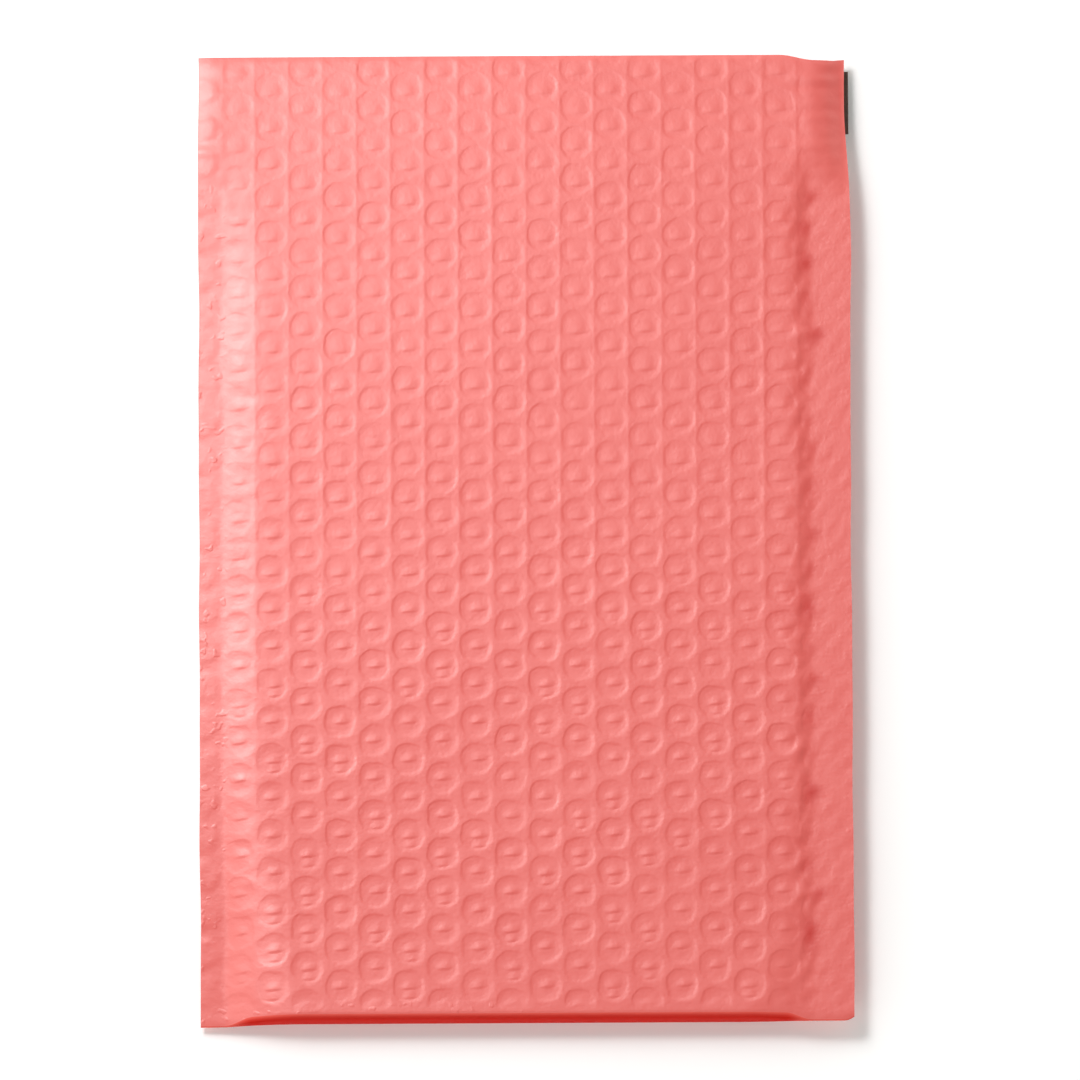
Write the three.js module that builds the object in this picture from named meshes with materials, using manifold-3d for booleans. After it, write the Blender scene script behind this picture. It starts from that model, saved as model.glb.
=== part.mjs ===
// Bubble-lined poly mailer, lying empty and face down with its flap unfolded.
// Millimetres, +Z up. X runs across the mailer, and Y runs along it from the bottom fold to the flap.
// The origin lies under the middle of the mailer, on the surface that it rests on.

import * as THREE from "three";
import { mergeVertices } from "three/addons/utils/BufferGeometryUtils.js";
import Module from "manifold-3d";

// Outline of the lying mailer
const WIDTH = 200; // outer edge of one side seal to the other
const POCKET_LENGTH = 265; // bottom fold to mouth
const FLAP_LENGTH = 40; // mouth to the flap's edge

// Laminated wall: outer film with bubble lining bonded behind it
const WALL = 4.4;
const POCKET_SLACK = 0.8; // room left between the two walls of the empty pocket

// Side seals, where both walls are welded flat
const LEFT_SEAL = 7;
const RIGHT_SEAL = 12;
const SEAL_THICKNESS = 1;
const SEAL_ROOT = 3; // stretch beside each weld where the walls still touch
const SEAL_SAG = 0.4; // how far the free edge of a seal hangs down
const SIDE_SHOULDER = 10; // from a weld to the full thickness of the pad

// The seals ride above the middle of the pad, drawn up by the tight back wall
const LEFT_LIFT = 1.6;
const RIGHT_LIFT = 3.2;
const LEFT_CORNER_SAG = 4; // how far each seal comes down again at its bottom corner
const RIGHT_CORNER_SAG = 2.8;
const CORNER_REACH = 85; // length over which the corner sag fades out
const LEFT_MOUTH_RISE = 2.4; // change of each seal's height towards the mouth
const RIGHT_MOUTH_RISE = -2;
const MOUTH_REACH = 100; // length over which that change comes on

// Bottom fold
const FOLD_DRAW_IN = 0.8; // the round fold stands back from the flat corners

// Bubbles, close-packed in columns that run along the mailer
const BUBBLE_PITCH = 11.85; // from bubble to bubble in a column
const COLUMN_PITCH = 10.4; // from column to column
const GROOVE_RADIUS = 3.9; // ring pressed into the film around each bubble
const GROOVE_DEPTH = 0.6;
const MOUND_HEIGHT = 0.55; // film lifted inside the ring
const HOLLOW_DEPTH = 0.6; // plainer hollow of each bubble on the front wall
const FIRST_ROW = 5; // bottom fold to the first row line
const RIDGE_ZIGZAG = 1.2; // sideways sway of the ridges between two columns
const PLAIN_MARGIN = 1.5; // least plain stretch between the bubbles and an edge

// Flap
const FLAP_DROP = 1.6; // mouth to edge, because nothing lies under the flap
const FLAP_EDGE = 1.2; // thickness of its pressed right edge
const FLAP_SHOULDER = 12; // from that edge to the flap's full thickness
const FLAP_TAPER = 1.3; // how far that edge is drawn in past the mouth
const CORNER_DIP = 1.6; // the flap's right corner is drawn back
const CORNER_DIP_WIDTH = 20;

// Self-seal closure on the hidden inner face of the flap
const ADHESIVE_WIDTH = 16;
const ADHESIVE_THICKNESS = 0.3;
const ADHESIVE_SETBACK = 7; // from the flap's edge
const LINER_OVERHANG = 2; // finger lift along both sides of the adhesive
const LINER_THICKNESS = 0.2;
const STRIP_MARGIN = 1.5; // from the mailer's side edges; the liner's right end has none and looks out past the flap
const CLEARANCE = 0.3; // between pieces that lie on each other

// Reach of a cutting solid past the surface that it cuts
const CUT_REACH = 5;

// Derived sizes
const LENGTH = POCKET_LENGTH + FLAP_LENGTH;
const PAD = 2 * WALL + POCKET_SLACK;
const MID_HEIGHT = PAD / 2;
const LEFT_WELD = LEFT_SEAL - WIDTH / 2;
const RIGHT_WELD = WIDTH / 2 - RIGHT_SEAL;
const ROW_PITCH = BUBBLE_PITCH / 2;
const COLUMNS = Math.floor((RIGHT_WELD - LEFT_WELD - PLAIN_MARGIN) / COLUMN_PITCH);
const ROWS = Math.floor((LENGTH - FIRST_ROW - PLAIN_MARGIN) / ROW_PITCH);
const FLAP_UNDERSIDE = WALL + POCKET_SLACK; // at the mouth

const FILM = new THREE.MeshStandardMaterial({ color: 0xee7974, roughness: 0.5, metalness: 0 });
const ADHESIVE = new THREE.MeshStandardMaterial({ color: 0xf0e6cf, roughness: 0.25, metalness: 0 });
const LINER = new THREE.MeshStandardMaterial({ color: 0x6b5c54, roughness: 0.5, metalness: 0 });

const { clamp, smoothstep } = THREE.MathUtils;
const wasm = await Module();
wasm.setup();

// Quarter round from 0 to 1, as a padded wall has at a fold or a pressed edge
function quarterRound(share) {
  const rest = 1 - clamp(share, 0, 1);
  return Math.sqrt(1 - rest * rest);
}

// 0 on the side seals, 1 where the pad has its full thickness: a slope that levels out
function sideFullness(x) {
  const rest = 1 - clamp(Math.min(x - LEFT_WELD, RIGHT_WELD - x) / SIDE_SHOULDER, 0, 1);
  return 1 - rest * rest;
}

// 0 at a weld, 1 at the free edge of its seal
function sealShare(x) {
  return clamp(Math.max((LEFT_WELD - x) / LEFT_SEAL, (x - RIGHT_WELD) / RIGHT_SEAL), 0, 1);
}

// Thickness of the flap as a share of the wall: whole up to its cut left edge, pressed thin at its right edge
function flapFullness(x) {
  return quarterRound((WIDTH / 2 - x) / FLAP_SHOULDER);
}

function flapUnderside(along) {
  return FLAP_UNDERSIDE - (FLAP_DROP * (along - POCKET_LENGTH)) / FLAP_LENGTH;
}

// How far a seal rides above the middle of the pad
function sealLift(x, along) {
  const [lift, cornerSag, mouthRise] =
    x < 0 ? [LEFT_LIFT, LEFT_CORNER_SAG, LEFT_MOUTH_RISE] : [RIGHT_LIFT, RIGHT_CORNER_SAG, RIGHT_MOUTH_RISE];
  const corner = 1 - smoothstep(along, 0, CORNER_REACH);
  const mouth = smoothstep(along, POCKET_LENGTH - MOUTH_REACH, POCKET_LENGTH);
  return lift - cornerSag * corner + mouthRise * mouth;
}

// Height of the plane where the two walls meet, and half of the pad's thickness about it
function midHeight(x, along) {
  const lift = sealLift(x, along) * (1 - sideFullness(x));
  return MID_HEIGHT + lift - SEAL_SAG * sealShare(x);
}

function halfThickness(x, along) {
  const fullness = sideFullness(x) * quarterRound(along / MID_HEIGHT);
  return SEAL_THICKNESS / 2 + (MID_HEIGHT - SEAL_THICKNESS / 2) * fullness;
}

// Back wall and flap, which face up
function upperHeight(x, along) {
  if (along < POCKET_LENGTH) return midHeight(x, along) + halfThickness(x, along);
  return flapUnderside(along) + FLAP_EDGE + (WALL - FLAP_EDGE) * flapFullness(x);
}

// Front wall, which lies on the surface; past the mouth it is cut away under the flap
function lowerHeight(x, along) {
  const height = midHeight(x, along) - halfThickness(x, along);
  if (along < POCKET_LENGTH) return height;
  return Math.min(height, flapUnderside(along) - SEAL_THICKNESS);
}

// Place along Y of a point that lies so far along the mailer
function placeAlong(x, along) {
  const drawIn = FOLD_DRAW_IN * sideFullness(x) * Math.max(0, 1 - along / FIRST_ROW);
  const share = clamp((along - POCKET_LENGTH) / FLAP_LENGTH, 0, 1);
  const dip = CORNER_DIP * share * share;
  const corner = smoothstep(x, WIDTH / 2 - CORNER_DIP_WIDTH, WIDTH / 2 - CORNER_DIP_WIDTH / 2);
  return along + drawIn - dip * corner - LENGTH / 2;
}

// Place along X of such a point
function placeAcross(x, along) {
  const edge = clamp((x - RIGHT_WELD) / RIGHT_SEAL, 0, 1);
  return x - FLAP_TAPER * edge * smoothstep(along, POCKET_LENGTH, POCKET_LENGTH + FLAP_LENGTH / 2);
}

// Lines across the mailer: seal edge, weld, one line per column, weld, seal edge
function acrossLines() {
  const columnLines = Array.from({ length: COLUMNS + 1 }, (_, j) => LEFT_WELD + j * COLUMN_PITCH);
  return [-WIDTH / 2, ...columnLines, RIGHT_WELD, WIDTH / 2];
}

// Lines along the mailer: fold, its rounding, one line per half bubble, flap edge
function alongLines() {
  const rowLines = Array.from({ length: ROWS + 1 }, (_, k) => FIRST_ROW + k * ROW_PITCH);
  return [0, FIRST_ROW / 3, ...rowLines, LENGTH];
}

const FIRST_COLUMN_LINE = 1; // in acrossLines
const FIRST_ROW_LINE = 2; // in alongLines

// Bubbles of odd columns start half a pitch lower than those of even columns
function firstRowOf(column) {
  return column % 2 === 0 ? 1 : 0;
}

// The ridge between two columns sways round the bubbles at its sides
function ridgeSway(column, row) {
  if (column <= 0 || column >= COLUMNS || row < 0 || row > ROWS) return 0;
  const bubbleBeside = (row - firstRowOf(column)) % 2 === 0 ? 1 : -1;
  return bubbleBeside * RIDGE_ZIGZAG;
}

// Closed pad with bubbles on both faces, before the pocket is opened
function paddedWeb() {
  const points = [];
  const triangles = [];
  const across = acrossLines();
  const along = alongLines();

  function addPoint(x, v, height) {
    points.push(placeAcross(x, v), placeAlong(x, v), height);
    return points.length / 3 - 1;
  }

  function addTriangle(a, b, c, faceUp) {
    triangles.push(a, ...(faceUp ? [b, c] : [c, b]));
  }

  function addQuad(a, b, c, d, faceUp) {
    addTriangle(a, b, c, faceUp);
    addTriangle(a, c, d, faceUp);
  }

  function gridOf(heightAt) {
    return across.map((x, i) =>
      along.map((v, k) => {
        const swayed = x + ridgeSway(i - FIRST_COLUMN_LINE, k - FIRST_ROW_LINE);
        return addPoint(swayed, v, heightAt(swayed, v));
      }),
    );
  }

  // The six grid points round a bubble, counter-clockwise from its right
  function cellBorder(grid, i, k) {
    return [
      grid[i + 1][k + 1],
      grid[i + 1][k + 2],
      grid[i][k + 2],
      grid[i][k + 1],
      grid[i][k],
      grid[i + 1][k],
    ];
  }

  // Back wall: a ring groove round a low mound
  function addGroovedBubble(border, x, v) {
    const relief = sideFullness(x);
    const mound = addPoint(x, v, upperHeight(x, v) + (MOUND_HEIGHT - GROOVE_DEPTH) * relief);
    const ring = border.map((_, n) => {
      const turn = (n * Math.PI) / 3;
      const ringX = x + GROOVE_RADIUS * Math.cos(turn);
      const ringV = v + GROOVE_RADIUS * Math.sin(turn);
      return addPoint(ringX, ringV, upperHeight(ringX, ringV) - GROOVE_DEPTH * relief);
    });
    border.forEach((corner, n) => {
      const next = (n + 1) % border.length;
      addQuad(ring[n], corner, border[next], ring[next], true);
      addTriangle(mound, ring[n], ring[next], true);
    });
  }

  // Front wall: a plain hollow
  function addHollowBubble(border, x, v) {
    const hollow = addPoint(x, v, lowerHeight(x, v) + HOLLOW_DEPTH * sideFullness(x));
    border.forEach((corner, n) => addTriangle(hollow, corner, border[(n + 1) % border.length], false));
  }

  function addFace(grid, faceUp, bubbleLimit, addBubble) {
    for (let i = 0; i + 1 < across.length; i += 1) {
      const column = i - FIRST_COLUMN_LINE;
      const bubbly = column >= 0 && column < COLUMNS;
      for (let k = 0; k + 1 < along.length; ) {
        const row = k - FIRST_ROW_LINE;
        const starts = bubbly && row >= 0 && (row - firstRowOf(column)) % 2 === 0;
        if (starts && row + 2 <= ROWS && along[k + 2] <= bubbleLimit) {
          const middle = (across[i] + across[i + 1]) / 2;
          addBubble(cellBorder(grid, i, k), middle, along[k + 1]);
          k += 2;
        } else {
          addQuad(grid[i][k], grid[i + 1][k], grid[i + 1][k + 1], grid[i][k + 1], faceUp);
          k += 1;
        }
      }
    }
  }

  const upper = gridOf(upperHeight);
  const lower = gridOf(lowerHeight);
  addFace(upper, true, LENGTH, addGroovedBubble);
  addFace(lower, false, POCKET_LENGTH, addHollowBubble);

  // Narrow walls round the rim: left and right, then fold and flap edge
  const lastI = across.length - 1;
  const lastK = along.length - 1;
  for (let k = 0; k < lastK; k += 1) {
    addQuad(upper[0][k], upper[0][k + 1], lower[0][k + 1], lower[0][k], true);
    addQuad(upper[lastI][k], upper[lastI][k + 1], lower[lastI][k + 1], lower[lastI][k], false);
  }
  for (let i = 0; i < lastI; i += 1) {
    addQuad(upper[i][0], upper[i + 1][0], lower[i + 1][0], lower[i][0], false);
    addQuad(upper[i][lastK], upper[i + 1][lastK], lower[i + 1][lastK], lower[i][lastK], true);
  }

  const geometry = new THREE.BufferGeometry();
  geometry.setAttribute("position", new THREE.Float32BufferAttribute(points, 3));
  geometry.setIndex(triangles);
  return geometry;
}

// A closed outline in the YZ plane, drawn as distance along the mailer and height, run across X
function acrossExtrusion(outline, fromX, toX) {
  const shape = new THREE.Shape(outline.map(([v, height]) => new THREE.Vector2(v - LENGTH / 2, height)));
  const geometry = new THREE.ExtrudeGeometry(shape, { depth: toX - fromX, bevelEnabled: false });
  const toYZ = new THREE.Matrix4().makeBasis(
    new THREE.Vector3(0, 1, 0),
    new THREE.Vector3(0, 0, 1),
    new THREE.Vector3(1, 0, 0),
  );
  return geometry.applyMatrix4(toYZ).translate(fromX, 0, 0);
}

function toSolid(geometry) {
  const bare = geometry.clone();
  bare.deleteAttribute("normal");
  bare.deleteAttribute("uv");
  const merged = mergeVertices(bare);
  return new wasm.Manifold(
    new wasm.Mesh({
      numProp: 3,
      vertProperties: new Float32Array(merged.attributes.position.array),
      triVerts: new Uint32Array(merged.index.array),
    }),
  );
}

function toGeometry(solid) {
  const { vertProperties, triVerts } = solid.getMesh();
  const geometry = new THREE.BufferGeometry();
  geometry.setAttribute("position", new THREE.BufferAttribute(vertProperties, 3));
  geometry.setIndex(new THREE.BufferAttribute(triVerts, 1));
  geometry.computeVertexNormals();
  return geometry;
}

// Space under the flap, and the thin pocket that opens into it at the mouth
function pocketOpening() {
  const past = LENGTH + CUT_REACH;
  const underFlap = [
    [POCKET_LENGTH, -CUT_REACH],
    [past, -CUT_REACH],
    [past, flapUnderside(past)],
    [POCKET_LENGTH, FLAP_UNDERSIDE],
  ];
  const foldInside = FOLD_DRAW_IN + WALL;
  const pocket = [...underFlap, [foldInside, FLAP_UNDERSIDE], [foldInside, WALL], [POCKET_LENGTH, WALL]];
  const fullWidth = WIDTH / 2 + CUT_REACH;
  return toSolid(acrossExtrusion(underFlap, -fullWidth, fullWidth)).add(
    toSolid(acrossExtrusion(pocket, LEFT_WELD + SEAL_ROOT, RIGHT_WELD - SEAL_ROOT)),
  );
}

function mesh(name, geometry, material) {
  const piece = new THREE.Mesh(geometry, material);
  piece.name = name;
  return piece;
}

function mailerPouch() {
  return mesh("mailer_pouch", toGeometry(toSolid(paddedWeb()).subtract(pocketOpening())), FILM);
}

// Strips on the flap's inner face, in a group that slopes with the flap from the mouth
function flapClosure() {
  const closure = new THREE.Group();
  closure.position.set(0, POCKET_LENGTH - LENGTH / 2, FLAP_UNDERSIDE);
  closure.rotation.x = -Math.atan2(FLAP_DROP, FLAP_LENGTH);
  const middle = Math.hypot(FLAP_LENGTH, FLAP_DROP) - ADHESIVE_SETBACK - ADHESIVE_WIDTH / 2;
  const stripLength = WIDTH - 2 * STRIP_MARGIN;
  const linerWidth = ADHESIVE_WIDTH + 2 * LINER_OVERHANG;

  const adhesive = new THREE.BoxGeometry(stripLength, ADHESIVE_WIDTH, ADHESIVE_THICKNESS);
  const adhesiveStrip = mesh("adhesive_strip", adhesive, ADHESIVE);
  const adhesiveFace = CLEARANCE + ADHESIVE_THICKNESS;
  adhesiveStrip.position.set(0, middle, ADHESIVE_THICKNESS / 2 - adhesiveFace);

  const liner = new THREE.BoxGeometry(stripLength + STRIP_MARGIN, linerWidth, LINER_THICKNESS);
  const releaseLiner = mesh("release_liner", liner, LINER);
  releaseLiner.position.set(STRIP_MARGIN / 2, middle, -adhesiveFace - CLEARANCE - LINER_THICKNESS / 2);

  return closure.add(adhesiveStrip, releaseLiner);
}

const mailer = new THREE.Group();
mailer.add(mailerPouch(), flapClosure());

export default mailer;
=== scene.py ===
"""Looks of a bubble-lined poly mailer: a padded pouch with its flap open, and the strip that seals it."""

import math

import bmesh
import bpy
import numpy as np
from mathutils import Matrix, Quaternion, Vector


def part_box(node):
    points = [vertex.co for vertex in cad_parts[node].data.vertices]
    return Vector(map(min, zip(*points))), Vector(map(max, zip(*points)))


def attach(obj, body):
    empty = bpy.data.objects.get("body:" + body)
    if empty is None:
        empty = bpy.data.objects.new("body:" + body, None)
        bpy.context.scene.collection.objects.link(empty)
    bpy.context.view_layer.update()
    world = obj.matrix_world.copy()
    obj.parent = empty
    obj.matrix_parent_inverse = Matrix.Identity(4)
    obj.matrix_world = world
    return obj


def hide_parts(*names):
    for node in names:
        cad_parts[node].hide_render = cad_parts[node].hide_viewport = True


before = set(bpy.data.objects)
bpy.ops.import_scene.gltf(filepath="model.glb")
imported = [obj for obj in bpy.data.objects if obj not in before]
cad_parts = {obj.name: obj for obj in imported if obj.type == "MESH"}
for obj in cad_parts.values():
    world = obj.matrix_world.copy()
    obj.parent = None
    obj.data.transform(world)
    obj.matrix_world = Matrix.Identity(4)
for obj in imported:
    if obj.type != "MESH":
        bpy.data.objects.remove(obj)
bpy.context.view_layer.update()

# Outline of the pouch, read from the pouch in model.glb, in millimetres like every length here that has no MM
MM = 0.001
pouch_low, pouch_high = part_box("mailer_pouch")
HALF_WIDTH = (pouch_high.x - pouch_low.x) / 2 / MM
LENGTH = (pouch_high.y - pouch_low.y) / MM
PAD = (pouch_high.z - pouch_low.z) / MM
FLAP_LENGTH = 40.0
POCKET_LENGTH = LENGTH - FLAP_LENGTH

# Walls, and the pocket between them
WALL = 4.4
MID_HEIGHT = PAD / 2
HALF_SLACK = MID_HEIGHT - WALL
POCKET_END = 16.0

# Side welds, and the shoulders of the padding beside them
LEFT_SEAL_WIDTH = 7.0
RIGHT_SEAL_WIDTH = 12.0
LEFT_WELD = -HALF_WIDTH + LEFT_SEAL_WIDTH
RIGHT_WELD = HALF_WIDTH - RIGHT_SEAL_WIDTH
WELD_DRIFT = 0.4
WELDS_END = (POCKET_LENGTH - 10.0, POCKET_LENGTH + 14.0)
LEFT_SHOULDER = 14.0
LEFT_CORNER_SHOULDER = 14.0
LEFT_CORNER_FADE = 25.0
RIGHT_SHOULDER = 6.0
RIGHT_CORNER_WIDENING = 2.4
RIGHT_CORNER_FADE = 20.0
CREASE_SHOULDER = 7.5
CREASE_SHARE = 0.65
SHOULDER_START = 0.08

# Flat seals outside the welds: half their thickness, their height over the table and their tilt
HALF_SEAL = 0.45
LEFT_SEAL_LOW = 2.4
LEFT_SEAL_RISE = 4.9
LEFT_RISE_END = 110.0
LEFT_MOUTH_RISE = 0.9
LEFT_MOUTH_SPAN = (230.0, 265.0)
LEFT_SEAL_TILT = 0.055
RIGHT_SEAL_LOW = 7.9
RIGHT_SEAL_RISE = 0.6
RIGHT_RISE_END = 48.0
RIGHT_MOUTH_FALL = 0.2
RIGHT_MOUTH_SPAN = (POCKET_LENGTH - 100.0, POCKET_LENGTH)
RIGHT_SEAL_TILT = 0.01

# Bottom fold
FOLD_TOP = 3.3
FOLD_EDGE = 0.4
FOLD_DRAW_IN = 0.8
FOLD_SQUARE = 3.0
FOLD_TURN = 80.0
FOLD_SHADE_ROWS = 1.5
FOLD_SHADE_FADE = 4.0
FOLD_RELIEF_FADE = 3.0
HALF_PLUMP = 0.5

# Flap
FLAP_UNDERSIDE = MID_HEIGHT + HALF_SLACK
FLAP_DROP = 1.6
FLAP_BEND = 12.0
FLAP_EDGE_SHARE = 0.35
FLAP_EDGE_INSET = 0.5
FLAP_EDGE_SHOULDER = 11.0
FLAP_TIP_ROUNDING = 1.5
FLAP_TIP_LOSS = 0.1
FLAP_SIDE_LOSS = 0.15
FLAP_TIP_FALL = 0.7
FLAP_TIP_REACH = 22.0

# Corners and free edges
WORN_CORNER = 1.2
WORN_WIDTH = 3.0
WORN_LENGTH = 6.0
CORNER_DIP = 1.7
CORNER_DIP_SPAN = (79.5, 90.5)
CORNER_RETURN = 0.5
CORNER_RETURN_SPAN = (95.5, 100.0)
EDGE_ZONE_START = 60.0
EDGE_ZONE_WIDTH = 40.0
EDGE_WAVER = 0.15
LEFT_EDGE_INSET = 0.3
RIGHT_EDGE_INSET = 0.1
RIGHT_NARROWING = 1.3
RIGHT_NARROWING_SPAN = (260.0, 288.0)
RIGHT_BULGE = 0.45
RIGHT_BULGE_MIDDLE = 240.0
RIGHT_BULGE_REACH = 30.0

# Front wall, whose bubbles hollow it and whose band at the mouth is plain
FRONT_START = FOLD_TOP + 0.8
FRONT_RELIEF = 1.6
FRONT_BAND = 6.0
FRONT_BAND_FADE = 4.0

# Bubble pattern of the lining
ROW_PITCH = 11.85
COLUMN_PITCH = 10.4
FIRST_ROW = 5.0
COLUMNS = 17
CELL_ROWS = 32
COLUMN_SKEW = -0.001
ROW_SHIFT = 1.4
ROW_SHIFT_SPAN = (205.0, 285.0)

# Relief of the film over a bubble
DISH_RADIUS = 5.2
DISH_WALL = 1.8
DISH_DEPTH = 0.093
BAR_HEIGHT = 0.03
TWIN_BAR_SHARE = 0.16
DOME_HEIGHT = 0.065
DOMED_SPAN = (115.0, 185.0)
DOMED_SCATTER = 50.0
FADED_SPAN = (190.0, 260.0)
CUT_BUBBLE_HEIGHT = 0.22
CUT_BUBBLE_RADIUS = 3.4
CUT_BUBBLE_WALL = 1.8

# Relief of the film between and beside the bubbles
RIDGE_HEIGHT = 0.03
RIDGE_WIDTH = 0.8
RIDGE_SPAN = (95.0, 175.0)
TENSION_HEIGHT = 0.1
TENSION_FADE = 8.0
SWAY_HEIGHT = 0.12
CRUMPLE_HEIGHT = 0.09
CRUMPLE_INSET = 2.5
CRUMPLE_WIDTH = 3.2
LEFT_SEAL_SHARE = 0.45
RIGHT_SEAL_SHARE = 0.25
RIGHT_CORNER_SHARE = 0.3
RIGHT_CORNER_REACH = 60.0
LEFT_DENT = 0.03
LEFT_CRINKLE = 0.01
RIGHT_DENT = 0.025
RIGHT_CRINKLE = 0.002

# Edge of the padding at the right weld, which has cut a bubble in every row
CUT_ROW_DRIFT = 0.22
CUT_PEAK = 0.62
CUT_LEAD = 0.6
CUT_SWING = 3.0
CUT_MEAN = 0.45
CUT_START = (14.0, 36.0)
# Painted shade in the crease of the right weld: its line, its width and where it starts
CREASE_SHADE_INSET = 2.0
CREASE_SHADE_WIDTH = 2.6
CREASE_SHADE_START = (12.0, 28.0)

# Finest relief of the film, made in its material
UPPER_SPAN = (95.0, 190.0)
RIM_RADIUS = 5.2
RIM_POWER = 2.4
RIM_STRETCH = 0.96
RIM_WAVER = 1.6
RIM_DEPTH = 0.06
TICK_HEIGHT = 0.12
TICK_SLANT = 0.08
TICK_LOWERED = 1.5
TWIN_TICK_DROP = 2.9
TWIN_TICK_REACH = 2.6
LINE_HEIGHT = 0.009
LINE_HALF_WIDTH = 0.8
CRINKLE_HEIGHT = 0.06
CRINKLE_PITCH = (380.0, 800.0, 380.0)
GRAIN_HEIGHT = 0.06

# Mesh cells to a bubble, and stations of the plainer stretches
CELLS_ACROSS = 12
CELLS_ALONG = 13
FOLD_ROWS = 9
FRONT_ROWS = 147
FLAP_ROWS = 21
LEFT_SEAL_STATIONS = 8
MARGIN_STATIONS = 6
RIGHT_SEAL_STATIONS = 13
SHARP_ANGLE = 55.0

# Places of the finishes in the pouch's list
LINING_PLACE = 1
# Slot of the copy of the film with painted shade, on the bottom fold
FOLD_SHADE_PLACE = 2

# Painted shade: the deep red that stands for the shade on the bottom fold and in the crease of the right weld
PAINTED_SHADE_TONE = (0.62, 0.009, 0.002)

chance = np.random.default_rng(41)


def ease(t):
    """Smooth step from 0 to 1."""
    t = np.clip(t, 0.0, 1.0)
    return t * t * (3.0 - 2.0 * t)


def within(t, start, end):
    """0 before start, 1 past end, smooth between them."""
    return ease((t - start) / (end - start))


def bell(t):
    """Bump of height 1 round 0."""
    return np.exp(-t * t)


class Ripples:
    """Sum of a few seeded waves, for creases and unevenness that never repeat over the mailer."""

    def __init__(self, length, count=6, heading=0.0, spread=math.pi):
        turn = heading + (chance.random(count) - 0.5) * spread
        number = 2 * math.pi / (length * (0.6 + 0.9 * chance.random(count)))
        self.kx = number * np.cos(turn)
        self.kv = number * np.sin(turn)
        self.phase = 2 * math.pi * chance.random(count)

    def __call__(self, x, v):
        total = np.zeros_like(x)
        for kx, kv, phase in zip(self.kx, self.kv, self.phase):
            total += np.sin(kx * x + kv * v + phase)
        return total / math.sqrt(len(self.kx))


# Unevenness of the film, from the whole mailer down to its seals
sway = Ripples(95.0)
crease_drift = Ripples(34.0, count=5)
seal_crinkle = Ripples(3.6, count=7, heading=math.radians(-40), spread=0.9)
seal_dent = Ripples(4.2, count=7)
tension = Ripples(6.0, count=6, heading=math.radians(90), spread=0.5)
edge_wave = Ripples(38.0, count=5)

# Chances of every bubble, and of the bubbles that the right weld has cut, which also set how strong the
# crease's painted shade is in each row
CELL_KINDS = chance.random((COLUMNS + 6, CELL_ROWS, 8))
CUT_REACH = CELL_KINDS[COLUMNS + 3, :, 0]
CUT_SHADE_CHANCE = CELL_KINDS[COLUMNS + 4, :, 1]


def released(v):
    """0 where the side welds hold the walls together, 1 past their end."""
    return within(v, *WELDS_END)


def left_weld(v):
    """Line of the left weld."""
    return LEFT_WELD + WELD_DRIFT * crease_drift(0 * v + 50.0, v)


def right_weld(v):
    """Mean line of the right weld."""
    return RIGHT_WELD + WELD_DRIFT * crease_drift(0 * v, v)


def cut_bubble(v):
    """Number of the bubble that the right weld has cut there, and the share of it that is passed."""
    turn = (v - FIRST_ROW) / ROW_PITCH + CUT_ROW_DRIFT * crease_drift(0 * v + 20.0, v)
    row = np.floor(turn).astype(int)
    return np.clip(row + 1, 0, CELL_ROWS - 1), turn - row


def shingled_edge(v):
    """Edge of the padding at the right weld, drawn out and in by the bubbles that the weld has cut."""
    row, part = cut_bubble(v)
    reach = 0.15 + 1.3 * CUT_REACH[row]
    rising = ease(part / CUT_PEAK)
    falling = 1.0 - ease((part - CUT_PEAK) / (1.0 - CUT_PEAK))
    out = np.where(part < CUT_PEAK, rising, falling)
    return right_weld(v) + CUT_LEAD + CUT_SWING * (reach * out - CUT_MEAN) * within(v, *CUT_START)


def crease_painted_shade(x, v):
    """How much painted shade darkens the crease of the right weld, in patches along it."""
    row, part = cut_bubble(v)
    strength = 0.1 + 0.7 * CUT_SHADE_CHANCE[row]
    spot = 0.1 + 0.9 * bell((part - 0.6) / 0.26)
    line = bell((x - shingled_edge(v) + CREASE_SHADE_INSET) / CREASE_SHADE_WIDTH)
    return strength * spot * line * within(v, *CREASE_SHADE_START) * (1.0 - released(v))


def rounded(t):
    """Shoulder of the padding beside a weld, softly started at the weld and level further in."""
    t = np.clip(t, 0.0, 1.0)
    soft = SHOULDER_START * SHOULDER_START
    t = (np.sqrt(t * t + soft) - SHOULDER_START) / (math.sqrt(1.0 + soft) - SHOULDER_START)
    return 1.0 - (1.0 - t) * (1.0 - t)


def welded_plumpness(x, v):
    """0 on the welded seals, 1 where the walls have their full thickness."""
    left_reach = LEFT_SHOULDER + LEFT_CORNER_SHOULDER * np.exp(-v / LEFT_CORNER_FADE)
    left = rounded((x - left_weld(v)) / left_reach)
    wide = 1.0 + RIGHT_CORNER_WIDENING * np.exp(-v / RIGHT_CORNER_FADE)
    straight = rounded((right_weld(v) - x) / RIGHT_SHOULDER / wide)
    creased = ease((shingled_edge(v) - x) / CREASE_SHOULDER / wide)
    return left * ((1.0 - CREASE_SHARE) * straight + CREASE_SHARE * creased)


def loose_plumpness(x):
    """Share of the full thickness on the flap, less along its right edge."""
    shoulder = rounded((HALF_WIDTH - FLAP_EDGE_INSET - x) / FLAP_EDGE_SHOULDER)
    return FLAP_EDGE_SHARE + (1.0 - FLAP_EDGE_SHARE) * shoulder


def plumpness(x, v):
    """Share of the full thickness over the whole mailer."""
    held = welded_plumpness(x, v)
    return held + (loose_plumpness(x) - held) * released(v)


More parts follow.
